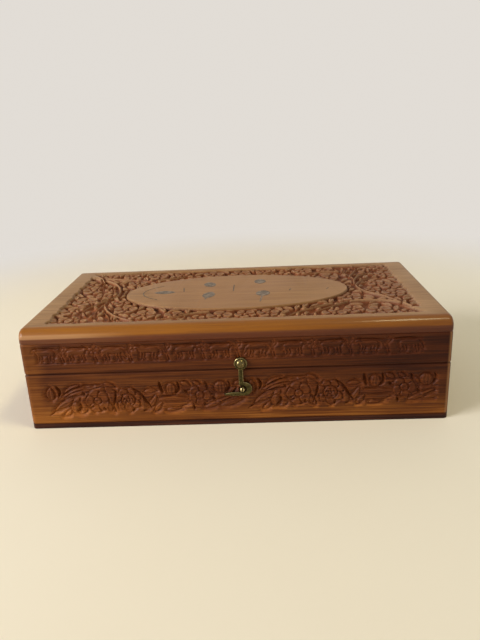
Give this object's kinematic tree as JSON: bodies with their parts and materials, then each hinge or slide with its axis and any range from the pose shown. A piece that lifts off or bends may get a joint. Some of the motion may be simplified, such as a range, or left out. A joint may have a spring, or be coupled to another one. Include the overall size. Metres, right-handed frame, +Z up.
{
  "type": "keepsake box",
  "caption": "Carved wooden keepsake box with a hinged lid, an oval medallion with brass inlay and a swinging brass hook latch on the front.",
  "frame": {"origin": "middle of the box's underside, on the surface that it stands on", "axes": "+X along the front to the right, +Y from the front (latch side) to the back (hinge side), +Z up"},
  "size_m": [0.256, 0.144, 0.065],
  "materials": {
    "carved_wood": "satin oiled hardwood, carved",
    "dark_wood": "dark stained hardwood",
    "inlay_brass": "tarnished grey brass",
    "latch_brass": "aged olive brass",
    "hinge_brass": "aged brass"
  },
  "bodies": {
    "base": {"base_front_wall": "carved_wood", "base_back_wall": "carved_wood", "base_left_wall": "carved_wood", "base_right_wall": "carved_wood", "bottom_board": "dark_wood", "hinge_left_lower_leaf": "hinge_brass", "hinge_right_lower_leaf": "hinge_brass", "hinge_left_pin": "hinge_brass", "hinge_right_pin": "hinge_brass", "hinge_screws_base": "hinge_brass", "latch_stud": "latch_brass"},
    "lid": {"lid_top_board": "carved_wood", "lid_front_wall": "carved_wood", "lid_back_wall": "carved_wood", "lid_left_wall": "carved_wood", "lid_right_wall": "carved_wood", "hinge_left_upper_leaf": "hinge_brass", "hinge_right_upper_leaf": "hinge_brass", "hinge_screws_lid": "hinge_brass", "latch_pivot_screw": "latch_brass", "inlay_leaf_left": "inlay_brass", "inlay_leaf_back_left": "inlay_brass", "inlay_leaf_front_left": "inlay_brass", "inlay_leaf_back_right": "inlay_brass", "inlay_leaf_front_right": "inlay_brass", "inlay_wires": "inlay_brass"},
    "hook": {"latch_hook": "latch_brass"}
  },
  "joints": [
    {"name": "lid_hinge", "type": "hinge", "parent": "base", "child": "lid", "pos_m": [0, 0.0684, 0.0364], "axis": [-1, 0, 0], "range_deg": [0, 100]},
    {"name": "hook_pivot", "type": "hinge", "parent": "lid", "child": "hook", "pos_m": [0.0036, -0.071, 0.0404], "axis": [0, -1, 0], "range_deg": [0, 180]}
  ]
}
